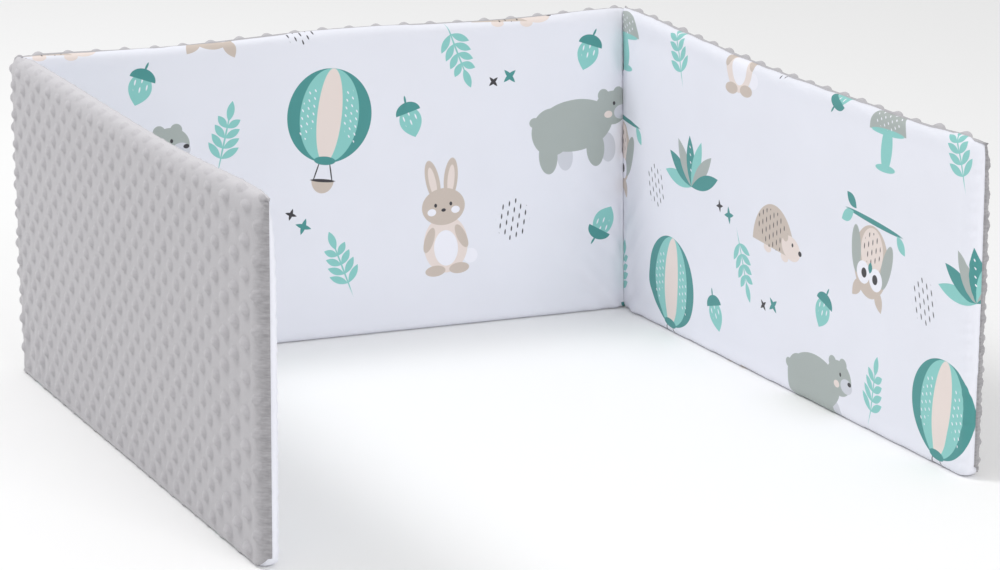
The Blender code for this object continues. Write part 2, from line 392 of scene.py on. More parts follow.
BEAR = motif(
    "disc sage", (-4.5, 1.3, 0.55, 0.50),
    "disc mist", (-1.5, -2.5, 0.85, 1.5), (3.3, -2.4, 0.85, 1.5),
    "disc sage", (-0.2, 0.4, 4.2, 2.6), (-2.7, 0.1, 2.2, 2.4), (-3.3, -2.3, 1.0, 1.8),
    (1.9, -2.3, 1.0, 1.8), (3.2, 2.9, 0.62, 0.62), (4.9, 2.9, 0.60, 0.60), (4.1, 1.5, 2.0, 1.7),
    "disc mist", (5.2, 0.9, 0.95, 0.72),
    "disc charcoal", (5.75, 1.2, 0.30, 0.22), (4.35, 1.9, 0.15, 0.20),
    "disc blush", (3.6, 0.9, 0.45, 0.36),
)
BALLOON = motif(
    "disc charcoal", (0.75, -4.1, 0.07, 1.1, 14), (-0.75, -4.1, 0.07, 1.1, -14),
    "disc teal", (0.0, 1.4, 4.3, 4.6),
    "disc mint", (0.0, 1.4, 3.0, 4.6),
    "disc blush", (0.0, 1.4, 1.25, 4.6),
    "disc teal", (0.0, -3.0, 1.1, 0.42),
    "dome beige", (0.0, -4.9, 1.15, -1.3),
    "disc charcoal", (0.0, -4.95, 1.25, 0.16),
    "dots white", (2.15, 1.5, 0.75, 2.8, 8), (-2.15, 1.5, 0.75, 2.8, -8),
)
RABBIT = motif(
    "disc beige both", (0.95, 4.6, 0.72, 2.1, -9),
    "disc blush both", (0.97, 4.5, 0.36, 1.5, -9),
    "disc white", (2.5, -3.4, 0.75, 0.75),
    "disc blush", (0.0, -1.9, 2.3, 2.9),
    "disc white", (0.0, -2.3, 1.25, 1.8),
    "disc beige both", (1.25, -4.5, 1.05, 0.55), (1.7, -1.3, 0.48, 1.3, 22),
    "disc beige", (0.0, 1.9, 2.25, 1.85),
    "disc charcoal both", (0.80, 2.1, 0.15, 0.20),
    "disc white both", (1.25, 1.45, 0.45, 0.36),
    "disc charcoal", (0.0, 1.55, 0.24, 0.17),
)
OWL = motif(
    "disc teal", (0.2, -3.75, 4.4, 0.24, 3),
    "leaf mint", (4.3, -2.9, 0.55, 1.1, -52),
    "leaf teal", (3.9, -4.5, 0.50, 1.0, -120),
    "leaf mint", (-4.2, -3.2, 0.50, 1.0, 48),
    "leaf beige both", (1.75, 3.0, 0.60, 1.2, -32),
    "disc beige", (0.0, 0.0, 2.75, 3.4),
    "disc blush", (0.0, -1.0, 1.75, 2.2),
    "dashes charcoal", (0.0, -1.2, 1.35, 1.6),
    "disc sage both", (2.45, -0.4, 0.75, 2.2, 10),
    "disc white both", (1.02, 1.35, 1.05, 1.05),
    "disc charcoal both", (0.9, 1.35, 0.42, 0.46),
    "leaf teal", (0.0, 0.55, 0.32, 0.55),
)
HEDGEHOG = motif(
    "disc blush both", (1.5, -1.9, 0.65, 0.45),
    "dome beige", (-0.5, -1.7, 3.6, 4.2),
    "dashes charcoal", (-0.7, 0.1, 2.7, 1.9),
    "disc blush", (2.5, -0.75, 1.6, 1.15, -8),
    "disc beige", (1.5, 0.15, 0.48, 0.50),
    "disc charcoal", (4.05, -0.8, 0.28, 0.25), (2.75, -0.35, 0.15, 0.19),
)
MUSHROOM = motif(
    "disc mint", (0.0, -1.5, 0.85, 2.1), (0.0, -3.3, 1.5, 0.35),
    "dome sage", (0.0, -0.1, 2.8, 2.6),
    "disc mint", (0.0, -0.1, 2.5, 0.30),
    "dots white", (0.0, 1.1, 1.9, 1.0),
)
SPRIG = motif(
    "disc mint", (0.0, -0.2, 0.09, 2.9),
    "leaf mint", (0.0, 2.7, 0.38, 1.0),
    "leaf mint both",
    *((0.80 - 0.07 * step, -1.3 + 0.95 * step, 0.36, 1.02 - 0.09 * step, -48) for step in range(4)),
)
FAN_LEAVES = (
    ("mint", 76), ("teal", 50), ("sage", 25), ("teal", 0), ("mint", -25), ("sage", -50), ("teal", -76),
)
FAN_FOOT = -1.6
FAN_RADIUS = 2.45
FAN = [
    Mark(
        "leaf", colour, -FAN_RADIUS * math.sin(math.radians(turn)),
        FAN_FOOT + FAN_RADIUS * math.cos(math.radians(turn)), 0.72, 2.5, turn,
    )
    for colour, turn in FAN_LEAVES
] + motif("dots white", (0.0, 0.9, 0.42, 1.5))
ACORN = motif(
    "leaf mint", (0.0, -0.75, 1.15, 1.75),
    "dashes white", (0.0, -0.6, 0.75, 0.95),
    "dome teal", (0.0, 0.05, 1.30, 1.05),
    "disc teal", (0.05, 1.35, 0.11, 0.42, -8),
)
RAIN = motif("dashes charcoal", (0.0, 0.0, 1.8, 2.1))
STARS = motif(
    "leaf charcoal", (-0.7, 0.5, 0.17, 0.62), (-0.7, 0.5, 0.17, 0.62, 90),
    "leaf teal", (0.9, -0.3, 0.24, 0.85), (0.9, -0.3, 0.24, 0.85, 90),
)

# Where each motif stands in the repeat: centimetres across and up, and degrees of turn.
LAYOUT = (
    (BEAR, [(9.0, 19.0, 4)]),
    (BALLOON, [(28.9, 21.0, -8)]),
    (RABBIT, [(40.8, 10.5, 3)]),
    (OWL, [(18.0, 33.0, 172)]),
    (HEDGEHOG, [(2.5, 32.0, -4)]),
    (MUSHROOM, [(19.5, 7.2, 2)]),
    (FAN, [(33.0, 34.5, 6)]),
    (SPRIG, [(18.5, 21.0, -14), (30.0, 7.5, 20), (42.5, 27.5, -160)]),
    (ACORN, [(37.2, 22.0, 16), (10.6, 27.2, -20), (11.5, 8.6, 150)]),
    (RAIN, [(26.3, 31.5, 12), (2.0, 10.5, -10)]),
    (STARS, [(39.0, 31.8, 10), (25.4, 12.3, -20), (1.0, 24.5, 40)]),
)


def nearest_place(print_place, places):
    """Centimetres from the nearest of a motif's places in the repeat, in the motif's own turn."""
    best = None
    for across, up, turn in places:
        half = (REPEAT[0] / 2, REPEAT[1] / 2, 1.0)
        offset = print_place.vector("SUBTRACT", print_place, (across, up, 0.0))
        here = offset.vector("WRAP", offset, half, tuple(-side for side in half)).turned(-turn)
        if best is None:
            best = here
        else:
            closer = best.math("LESS_THAN", here.length(), best.length())
            mix = {0: closer, 4: best, 5: here}
            best = best.node("ShaderNodeMix", {"data_type": "VECTOR"}, mix, output=1)
    return best


def cell_marks(place, cell, size):
    """Small marks in a sheared grid of cells."""
    across = place.part(1.0, 0.0).wrapped(cell[0] / 2)
    up = place.part(CELL_SHEAR, 1.0).wrapped(cell[1] / 2)
    radius = across.node("ShaderNodeCombineXYZ", None, {0: across / size[0], 1: up / size[1]}).length()
    sharp = size[0] / INK_EDGE
    return radius.scaled(-sharp, sharp + 0.5)


def mark_mask(place, mark):
    """Where a mark is printed, from 0 to 1."""
    turned = place.turned(-mark.turn, (mark.x, mark.y, 0.0)) if mark.turn else place
    shrink = (1 / mark.across, 1 / mark.up, 0.0)
    shift = (-mark.x / mark.across, -mark.y / mark.up, 0.0)
    local = turned.vector("MULTIPLY_ADD", turned, shrink, shift)
    sharp = min(mark.across, abs(mark.up)) / INK_EDGE
    if mark.shape == "leaf":
        y = local.part(0.0, 1.0)
        radius = y.math("MULTIPLY_ADD", y, y, local.part(1.0, 0.0).size())
        return radius.scaled(-sharp, sharp + 0.5)
    mask = local.length().scaled(-sharp, sharp + 0.5)
    if mark.shape == "dome":
        mask = mask * local.part(0.0, 1.0).scaled(abs(mark.up) / INK_EDGE, 0.5)
    elif mark.shape == "dashes":
        mask = mask * cell_marks(place, DASH_CELL, DASH_SIZE)
    elif mark.shape == "dots":
        mask = mask * cell_marks(place, SPECK_CELL, SPECK_SIZE)
    return mask


def cotton_material(settings):
    constants = {"Sheen Weight": 0.12, "Sheen Roughness": 0.6, "Specular IOR Level": 0.25}
    material, shader, start = new_material("printed_cotton", constants)
    uv = start.node("ShaderNodeUVMap", {"uv_map": "print"})
    to_centimetres = {0: uv, "Scale": 100.0}
    print_place = uv.node("ShaderNodeVectorMath", {"operation": "SCALE"}, to_centimetres)
    tone = print_place.noise(0.16)
    colour = tone.mix(tinted(settings.white, 1.0), tinted(settings.white, SHADED))
    for marks, places in LAYOUT:
        place = nearest_place(print_place, places)
        halves = {0: place.part(1.0, 0.0).size(), 1: place.part(0.0, 1.0)}
        halved = place.node("ShaderNodeCombineXYZ", None, halves)
        for mark in marks:
            mask = mark_mask(halved if mark.both else place, mark)
            colour = mask.mix(colour, INKS[mark.ink])
    colour.into(shader.inputs["Base Color"])
    warp = print_place.part(math.tau / THREAD_PITCH, 0.0).wave()
    weft = print_place.part(0.0, math.tau / THREAD_PITCH).wave()
    weave = warp * weft
    bump = {"Strength": 0.35, "Distance": 0.0002, "Height": print_place.noise(9.0, 3.0) + weave * 0.25}
    start.node("ShaderNodeBump", None, bump).into(shader.inputs["Normal"])
    (tone * 0.06 + 0.80).into(shader.inputs["Roughness"])
    return material


def plush_material(settings):
    """Short brushed pile with darker and paler fibres at random; painted highlights on the dots' tops and
    along the crest, painted shade round the dots and in a seam's gathered folds.
    """
    material, shader, start = new_material("dotted_plush", {
        "Roughness": 0.95, "Specular IOR Level": 0.1, "Sheen Weight": 0.35, "Sheen Roughness": 0.5,
    })
    place = start.node("ShaderNodeTexCoord", output=3)
    dot, gather_shade, crest = (
        start.node("ShaderNodeAttribute", {"attribute_name": name}, output=2)
        for name in ("dot", "gather_shade", "crest")
    )
    pile, brushed = place.noise(900.0, 3.0), place.noise(60.0)
    grey, dark_and_shade, pale_and_highlight, crest_highlight, shade = (
        tinted(settings.grey, share) for share in (1.0, 0.78, 1.12, 1.45, 0.60)
    )
    # Painted highlight on the dots' tops and painted shade round their flanks, both read from the dots'
    # height.
    colour = dot.scaled(0.45, 0.0).mix(grey, pale_and_highlight)
    flank_shade = dot.scaled(-3.0, 1.0) * dot.scaled(6.0, 0.0)
    colour = (flank_shade * 0.45).mix(colour, dark_and_shade)
    # Darker and paler fibres at random: the pile's own tone.
    colour = ((pile * 1.4 - 0.55).most(0.0) * 0.55).mix(colour, dark_and_shade)
    colour = ((brushed - 0.5).most(0.0) * 0.7).mix(colour, pale_and_highlight)
    # Painted highlight along the crest, where the light falls strongest on the top.
    colour = (crest * (pile * 0.5 + 0.4)).mix(colour, crest_highlight)
    # Painted shade in streaks, standing for the folds where a seam gathers the cloth.
    streaks = place.vector("MULTIPLY", place, (120.0, 120.0, 620.0)).noise(1.0)
    colour = (gather_shade * (streaks * 1.6 - 0.1).most(0.0)).mix(colour, shade)
    colour.into(shader.inputs["Base Color"])
    bump = {"Strength": 0.7, "Distance": 0.0006, "Height": pile + brushed * 0.8}
    start.node("ShaderNodeBump", None, bump).into(shader.inputs["Normal"])
    return material


# Panels


def outward(panel):
    return Vector((-math.sin(panel.turn), math.cos(panel.turn), 0.0))


def along(panel):
    side = outward(panel)
    return Vector((side.y, -side.x, 0.0))


def inner_line(panel, distance, height):
    """A point of a panel's inner face, as far along it and as high as given."""
    lean = panel.start_lean.lerp(panel.end_lean, distance / PANEL_LENGTH) * height / PANEL_HEIGHT
    return panel.start + along(panel) * distance + lean + Vector((0, 0, height))


def merged_mesh(node):
    """A CAD node's mesh with its loose triangles joined."""
    body = bmesh.new()
    body.from_mesh(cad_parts[node].data)
    bmesh.ops.remove_doubles(body, verts=body.verts, dist=SAME_POINT)
    mesh = bpy.data.meshes.new(node + "_merged")
    body.to_mesh(mesh)
    body.free()
    return mesh


def surface_of(*nodes):
    """A tree for rays and nearest points on some CAD nodes."""
    points, faces = [], []
    for node in nodes:
        mesh = merged_mesh(node)
        start = len(points)
        points += [vertex.co.copy() for vertex in mesh.vertices]
        faces += [[start + number for number in face.vertices] for face in mesh.polygons]
        bpy.data.meshes.remove(mesh)
    return BVHTree.FromPolygons(points, faces)


def points_of(mesh):
    places = np.empty(len(mesh.vertices) * 3)
    mesh.vertices.foreach_get("co", places)
    return places.reshape(-1, 3)


def set_points(mesh, places):
    mesh.vertices.foreach_set("co", np.ascontiguousarray(places, dtype=np.float64).ravel())
    mesh.update()


def eased(values, low, high):
    """0 below low, 1 above high and a smooth step between."""
    share = np.clip((values - low) / (high - low), 0.0, 1.0)
    return share * share * (3 - 2 * share)


def wandering(seed, values, wavelengths):
    """A smooth random line over values: a few sines with seeded phases."""
    chance = np.random.default_rng(seed)
    total = np.zeros_like(values)
    for wavelength in wavelengths:
        total += np.sin(math.tau * (values / wavelength + chance.random()))
    return total / len(wavelengths)


def rippled(seed, values, from_edge, ripple):
    """How high a ripple's lines stand, which cross the values and fade with the way from an edge."""
    return wandering(seed, values, ripple.waves) * np.exp(-(from_edge / ripple.reach) ** 2) * ripple.height


def linked(name, data):
    """A new object in the scene."""
    made = bpy.data.objects.new(name, data)
    bpy.context.scene.collection.objects.link(made)
    return made


def finished(name, mesh, material, node):
    """A piece made of a mesh, which rides on the part and stands for a CAD node."""
    piece = linked(name, mesh)
    mesh.materials.clear()
    mesh.materials.append(material)
    mesh.shade_smooth()
    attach(piece, "root")
    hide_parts(node)
    return piece


# Cotton pads


def evaluated(piece):
    """A new mesh with the piece's modifiers applied."""
    graph = bpy.context.evaluated_depsgraph_get()
    return bpy.data.meshes.new_from_object(piece.evaluated_get(graph))


def with_modifier(mesh, kind, **settings):
    """The mesh after one modifier."""
    carrier = linked("carrier", mesh)
    modifier = carrier.modifiers.new(kind.title(), kind)
    for name, value in settings.items():
        setattr(modifier, name, value)
    changed = evaluated(carrier)
    bpy.data.objects.remove(carrier)
    bpy.data.meshes.remove(mesh)
    return changed


def panel_places(panel, points):
    """How far along a panel, outwards from its inner face, and up the points lie."""
    offset = points - np.array(panel.start)
    start_lean, end_lean = np.array(panel.start_lean), np.array(panel.end_lean)
    upright = offset
    for _ in range(2):
        share = (upright @ np.array(along(panel)) / PANEL_LENGTH)[:, None]
        lean = start_lean + (end_lean - start_lean) * share
        upright = offset - lean * points[:, 2:] / PANEL_HEIGHT
    return upright @ np.array(along(panel)), upright @ np.array(outward(panel)), points[:, 2]


def face_share(panel, points):
    """1 on the open middle of the cotton face, falling to 0 at its edges and on the hidden side."""
    distance, depth, height = panel_places(panel, points)
    inside = eased(np.minimum(distance, PANEL_LENGTH - distance), *FACE_ENDS)
    upright = eased(height, *FACE_FOOT) * (1 - eased(height, *FACE_CREST))
    return inside * upright * (1 - eased(depth, *FACE_DEPTH))


def filled(mesh, panel, settings):
    """The cotton face, laid in a little and swollen out again by its wadding."""
    places = points_of(mesh)
    share = face_share(panel, places)
    side = np.array(outward(panel))
    laid_in = places + side * (settings.slack * share)[:, None]
    set_points(mesh, laid_in)
    carrier = linked("filling", mesh)
    held = carrier.vertex_groups.new(name="held")
    for number, value in enumerate(share):
        held.add([number], 1.0 - float(value) ** 0.5, "REPLACE")
    cloth = carrier.modifiers.new("Cloth", "CLOTH")
    cloth.settings.use_pressure = True
    cloth.settings.uniform_pressure_force = settings.pressure
    cloth.settings.vertex_group_mass = "held"
    cloth.settings.effector_weights.gravity = 0.0
    cloth.settings.quality = 4
    cloth.collision_settings.use_collision = False
    scene = bpy.context.scene
    for number in range(FILLING_FRAMES):
        scene.frame_set(number + 1)
    simulated = evaluated(carrier)
    moved = points_of(simulated) - laid_in
    scene.frame_set(1)
    bpy.data.objects.remove(carrier)
    bpy.data.meshes.remove(simulated)
    far = np.linalg.norm(moved, axis=1)
    moved *= (settings.swell / np.maximum(far, settings.swell))[:, None]
    set_points(mesh, laid_in + moved * eased(share, 0.0, FILLING_FADE)[:, None])


def puckered(mesh, panel):
    """Small puckers where the cotton is sewn, and the soft drag lines that run into the folds."""
    places = points_of(mesh)
    distance, depth, height = panel_places(panel, places)
    crest = height.max()
    visible = 1 - eased(depth, *PUCKER_DEPTH)
    side = np.array(outward(panel))
    seed = PANELS.index(panel)
    shift = rippled(seed, distance, crest - height, CREST_PUCKER)
    for fold, from_end in ((panel.start_fold, distance), (panel.end_fold, PANEL_LENGTH - distance)):
        pucker = FOLD_PUCKER if fold else END_PUCKER
        shift += rippled(seed + 10, height + from_end * 0.3, np.maximum(from_end, 0), pucker)
        if fold:
            drag = rippled(seed + 20, height - from_end * 1.1, from_end, FOLD_DRAG)
            everywhere, low = FOLD_DRAG_HEIGHT
            drag *= everywhere + low * (1 - eased(height, *FOLD_DRAG_FOOT))
            shift += drag * eased(from_end, 0.0, FOLD_DRAG_FROM)
    broad = wandering(seed + 30, distance + height * 0.35, BROAD_WAVES[0])
    broad += wandering(seed + 40, height - distance * 0.2, BROAD_WAVES[1])
    shift += broad * BROAD_HEIGHT * face_share(panel, places)
    set_points(mesh, places + side * (shift * visible)[:, None])


def printed(mesh, panel):
    """The print's own UV map, in metres over the cotton, turned over the crest and the ends."""
    places = points_of(mesh)
    distance, depth, height = panel_places(panel, places)
    behind = np.maximum(depth, 0.0) * PRINT_TURN
    start_end = eased(-distance, -NOSE_LENGTH, 0.0) * (0.0 if panel.start_fold else 1.0)
    far_end = eased(distance, PANEL_LENGTH - NOSE_LENGTH, PANEL_LENGTH) * (0.0 if panel.end_fold else 1.0)
    across = distance + behind * (far_end - start_end) + panel.cut[0]
    crest, foot = eased(height, *PRINT_CREST), 1 - eased(height, *PRINT_FOOT)
    up = height + behind * crest - behind * foot + panel.cut[1]
    corners = np.empty(len(mesh.loops), dtype=np.int64)
    mesh.loops.foreach_get("vertex_index", corners)
    places = np.stack([across[corners], up[corners]], axis=1).astype(np.float32)
    mesh.uv_layers.new(name="print").data.foreach_set("uv", places.ravel())


def fold_planes(panel):
    """For each fold: a point of its plane, the plane's normal away from the panel, and its end."""
    planes = []
    ends = (
        (panel.start_fold, panel.start_lean, 0.0, 1.0),
        (panel.end_fold, panel.end_lean, PANEL_LENGTH, -1.0),
    )
    for fold, lean, distance, way in ends:
        if fold:
            over = Matrix.Rotation(fold * way, 3, "Z") @ outward(panel)
            crease = (lean + Vector((0, 0, PANEL_HEIGHT))).normalized()
            normal = over.cross(crease).normalized()
            if normal.dot(along(panel)) * way > 0:
                normal.negate()
            planes.append((inner_line(panel, distance, 0.0), normal, -way))
    return planes


def overlong(mesh, panel):
    """The pad drawn out past its folds, so that the cut through them stays sharp."""
    for point, normal, way in fold_planes(panel):
        for vertex in mesh.vertices:
            if abs((vertex.co - point).dot(normal)) < FOLD_NEAR:
                vertex.co += along(panel) * way * FOLD_SPARE


def cut_at_folds(mesh, panel):
    """The pad cut off along the planes of its folds, with its cut edges kept sharp."""
    body = bmesh.new()
    body.from_mesh(mesh)
    creases = body.edges.layers.float.new("crease_edge")
    for point, normal, _ in fold_planes(panel):
        everything = body.verts[:] + body.edges[:] + body.faces[:]
        bmesh.ops.bisect_plane(
            body, geom=everything, dist=1e-5, plane_co=point - normal * MITRE_GAP, plane_no=normal,
            clear_outer=True,
        )
        rim = [edge for edge in body.edges if edge.is_boundary]
        bmesh.ops.holes_fill(body, edges=rim, sides=0)
        for edge in rim:
            edge[creases] = 1.0
    bmesh.ops.recalc_face_normals(body, faces=body.faces)
    body.to_mesh(mesh)
    body.free()


def laid_on(mesh, surface):
    """The mesh drawn onto the CAD surface, without the short edges that would stop the filling."""
    body = bmesh.new()
    body.from_mesh(mesh)
    for vertex in body.verts:
        vertex.co = surface.find_nearest(vertex.co)[0]
    bmesh.ops.remove_doubles(body, verts=body.verts, dist=SHORT_EDGE)
    body.to_mesh(mesh)
    body.free()


def tucked_under(mesh, panel):
    """The cotton drawn in a little wherever the plush covers it."""
    places = points_of(mesh)
    normals = np.empty(len(mesh.vertices) * 3)
    mesh.vertices.foreach_get("normal", normals)
    distance, depth, height = panel_places(panel, places)
    across = depth - RIM_THICKNESS / 2
    crest_seam = RIM_THICKNESS / 2 * math.cos(panel.crest_turn)
    seam = -CAP_PAST + (crest_seam + CAP_PAST) * eased(height, *TUCK_CREST)
    hidden = eased(across - seam, *TUCK_ACROSS) * eased(height, *TUCK_UP)
    set_points(mesh, places - normals.reshape(-1, 3) * (TUCK_UNDER * hidden)[:, None])


def cotton_pad(panel, material, settings):
    surface = surface_of("pad_" + panel.name)
    mesh = merged_mesh("pad_" + panel.name)
    overlong(mesh, panel)
    mesh = with_modifier(mesh, "REMESH", mode="VOXEL", voxel_size=settings.voxel)
    cut_at_folds(mesh, panel)
    laid_on(mesh, surface)
    filled(mesh, panel, settings)
    tucked_under(mesh, panel)
    mesh = with_modifier(mesh, "SUBSURF", levels=1, render_levels=1)
    puckered(mesh, panel)
    printed(mesh, panel)
    mesh.name = "cotton_" + panel.name
    piece = finished("cotton_" + panel.name, mesh, material, "pad_" + panel.name)


# Plush covers

# A column of the cover's grid: its place along the cloth, the upright section that it lies on, as
# its distance along the panel, its turn and the share of the thickness left, and how far the
# column has gone over a free end's tip, from 0 to 1.
Column = collections.namedtuple("Column", "cloth distance turn keep over_tip")
# A row: its place up the cloth, its share of the way up the face, and its turn from level.
Row = collections.namedtuple("Row", "cloth height turn")

NOSE_ARC = (NOSE_LENGTH + RIM_THICKNESS / 2) / 2 * NOSE_TURN


def added_cloth(fold):
    """How much cloth goes round a panel's end, past the end of its inner face."""
    return RIM_THICKNESS * fold if fold else CAP_REACH + NOSE_ARC - NOSE_LENGTH


def end_column(fold, cloth):
    """The section of a column this far over the cloth from a panel's end."""
    if fold:
        arc = RIM_THICKNESS * fold
        if cloth < arc:
            return MITRE_GAP, (fold - MITRE_CLEARANCE) * (1 - cloth / arc), 1.0, 0.0
        return max(cloth - arc, MITRE_GAP), 0.0, 1.0, 0.0
    past_tip = cloth - CAP_REACH
    angle = NOSE_TURN * min(max(1 - past_tip / NOSE_ARC, 0.0), 1.0)
    distance = NOSE_LENGTH * (1 - math.sin(angle)) + max(past_tip - NOSE_ARC, 0.0)
    return distance, 0.0, math.cos(angle), max(-past_tip / CAP_REACH, 0.0)


def cover_columns(panel, step):
    total = added_cloth(panel.start_fold) + PANEL_LENGTH + added_cloth(panel.end_fold)
    count = round(total / step)
    columns = []
    for number in range(count + 1):
        cloth = total * number / count
        if cloth < total / 2:
            columns.append(Column(cloth, *end_column(panel.start_fold, cloth)))
        else:
            distance, turn, keep, over_tip = end_column(panel.end_fold, total - cloth)
            columns.append(Column(cloth, PANEL_LENGTH - distance, -turn, keep, over_tip))
    return columns


def cover_rows(panel, step):
    foot_arc = FOOT_RADIUS * FOOT_TURN
    crest_arc = RIM_THICKNESS / 2 * panel.crest_turn
    face = PANEL_HEIGHT - FOOT_RADIUS - RIM_THICKNESS / 2
    total = foot_arc + face + crest_arc
    count = round(total / step)
    rows = []
    for number in range(count + 1):
        cloth = total * number / count
        if cloth < foot_arc:
            rows.append(Row(cloth, 0.0, -FOOT_TURN * (1 - cloth / foot_arc)))
        elif cloth > total - crest_arc:
            rows.append(Row(cloth, 1.0, panel.crest_turn * (1 - (total - cloth) / crest_arc)))
        else:
            rows.append(Row(cloth, (cloth - foot_arc) / face, 0.0))
    return rows


def cover_column(panel, column, rows, surface):
    """One column of the cover, where rays in its section meet the CAD model from outside."""
    side = Matrix.Rotation(column.turn, 3, "Z") @ outward(panel)
    half = RIM_THICKNESS / 2 * column.keep
    foot_radius = min(FOOT_RADIUS, half)

    def spot(across, height):
        return inner_line(panel, column.distance, height) + side * (RIM_THICKNESS / 2 + across)

    def met(centre, ray, otherwise):
        return surface.ray_cast(centre + ray * RAY_START, -ray)[0] or otherwise

    top = spot(0.0, PANEL_HEIGHT)
    crest = met(top, Vector((0, 0, 1)), top).z
    low = CORNER_LIFT * (1 - column.keep) + foot_radius
    high = crest - half
    foot = spot(0.0, low)
    foot_reach = (met(foot, side, foot + side * half) - foot).length - foot_radius
    points = []
    for row in rows:
        height = low + (high - low) * row.height
        across = foot_reach if row.turn < 0 else 0.0
        radius = foot_radius if row.turn < 0 else half
        centre = spot(across, height)
        ray = side * math.cos(row.turn) + Vector((0, 0, math.sin(row.turn)))
        point = met(centre, ray, centre + ray * radius)
        if column.over_tip:
            middle = spot(0.0, min(point.z, crest - TIP_DROP * column.over_tip))
            across = (point - middle).dot(side)
            across += (min(across, -CAP_PAST) - across) * column.over_tip
            onward = -along(panel) if column.distance < PANEL_LENGTH / 2 else along(panel)
            expected = middle + side * across
            point = met(expected, onward, expected)
            if (expected - point).dot(onward) > SEAM_DEPTH:
                point = expected
        points.append(point)
    return points


def cover_grid(panel, columns, rows):
    """Where the cover lies on the CAD model, row by row."""
    surface = surface_of("pad_" + panel.name, "plush_" + panel.name)
    grid = np.array([cover_column(panel, column, rows, surface) for column in columns])
    return grid.transpose(1, 0, 2).copy()


def smoothed(grid, times):
    """The grid with its facets rounded off, its border held."""
    for _ in range(times):
        middle = grid[1:-1, 1:-1]
        around = grid[:-2, 1:-1] + grid[2:, 1:-1] + grid[1:-1, :-2] + grid[1:-1, 2:]
        grid[1:-1, 1:-1] = middle * 0.5 + around * 0.125
    return grid


def grid_normals(grid):
    """Outward normals of a grid whose rows run up and whose columns run along the panel."""
    normals = np.cross(np.gradient(grid, axis=0), np.gradient(grid, axis=1))
    normals /= np.maximum(np.linalg.norm(normals, axis=2, keepdims=True), 1e-12)
    inner = normals[NORMAL_REACH:-NORMAL_REACH, NORMAL_REACH:-NORMAL_REACH]
    reach = (NORMAL_REACH, NORMAL_REACH)
    normals = smoothed(np.pad(inner, (reach, reach, (0, 0)), "edge"), 3)
    return normals / np.linalg.norm(normals, axis=2, keepdims=True)


def dot_relief(panel, cloth_across, cloth_up):
    """How far the dots stand out, from 0 to 1, and how gathered the cloth is, which sets the painted shade
    of its folds.

    A free end's seam pulls the cloth, so that the dots stand further apart towards it.
    """
    step = cloth_across[1] - cloth_across[0]
    from_end = np.full_like(cloth_across, 1.0)
    if not panel.start_fold:
        from_end = cloth_across
    if not panel.end_fold:
        from_end = cloth_across[-1] - cloth_across
    stretch = END_STRETCH * (1 - eased(from_end, *END_STRETCH_TO)) * eased(from_end, *END_STRETCH_FROM) + 1
    lattice = np.cumsum(step / stretch)
    lattice -= np.interp(0.0 if panel.start_fold else FIRST_DOT_COLUMN, cloth_across, lattice)
    across = lattice[None, :] / DOT_PITCH
    last_row = cloth_up[-1] - RIM_THICKNESS / 2 * (panel.crest_turn - LAST_DOT_ROW)
    up = (cloth_up[:, None] - last_row) / DOT_PITCH
    column, row = np.round(across) + 0 * up, np.round(up) + 0 * across
    odd = (column + row) % 2 != 0
    left_over_across, left_over_up = across - column, up - row
    sideways = odd & (np.abs(left_over_across) > np.abs(left_over_up))
    upward = odd & ~sideways
    column += np.where(sideways, np.sign(left_over_across), 0)
    row += np.where(upward, np.sign(left_over_up), 0)
    chance = np.random.default_rng(7)
    tall = chance.uniform(*DOT_TALL, (DOT_KINDS, DOT_KINDS))
    slip = chance.uniform(-DOT_SLIP, DOT_SLIP, (2, DOT_KINDS, DOT_KINDS))
    key = (row.astype(int) % DOT_KINDS, column.astype(int) % DOT_KINDS)
    offset_across = (across - column) * DOT_PITCH * stretch[None, :] + slip[0][key]
    offset_up = (up - row) * DOT_PITCH + slip[1][key]
    width = DOT_RADIUS * (1 + END_WIDER * (stretch[None, :] - 1))
    radius = np.sqrt((offset_across / width) ** 2 + (offset_up / DOT_RADIUS / DOT_SQUAT) ** 2)
    dots = np.clip(1 - radius * radius, 0.0, 1.0) ** DOT_ROUNDNESS * tall[key]
    dots *= 1 + END_TALLER * (stretch[None, :] - 1)
    if panel.start_fold:
        dots *= eased(cloth_across, *FOLD_DOTS)[None, :]
    if panel.end_fold:
        dots *= eased(cloth_across[-1] - cloth_across, *FOLD_DOTS)[None, :]
    gather_shade = np.exp(-(from_end / END_GATHER) ** 2)[None, :] + 0 * up
    lost, reach = END_DOTS
    return dots * (1 - lost * np.exp(-(from_end / reach) ** 2)[None, :]), gather_shade


def soft_folds(panel, cloth_across, cloth_up):
    """Low ridges where the cloth drags from a fold's foot, and puckers at the crest and a free end."""
    across, up = cloth_across[None, :], cloth_up[:, None]
    from_fold = cloth_across[-1] - across if panel.name == "left" else across
    leaning = from_fold * 0.96 - up * 0.28
    drag = wandering(3, leaning, COVER_DRAG.waves)
    near = np.exp(-(from_fold / COVER_DRAG.reach) ** 2) * np.exp(-(up / COVER_DRAG_UP) ** 2)
    relief = drag * near * COVER_DRAG.height
    for fold, from_end in ((panel.start_fold, across), (panel.end_fold, cloth_across[-1] - across)):
        if not fold:
            relief += rippled(5, up + 0.15 * from_end, from_end, COVER_PUCKER)
    relief += rippled(6, across + 0 * up, cloth_up[-1] - up, COVER_CREST)
    return relief


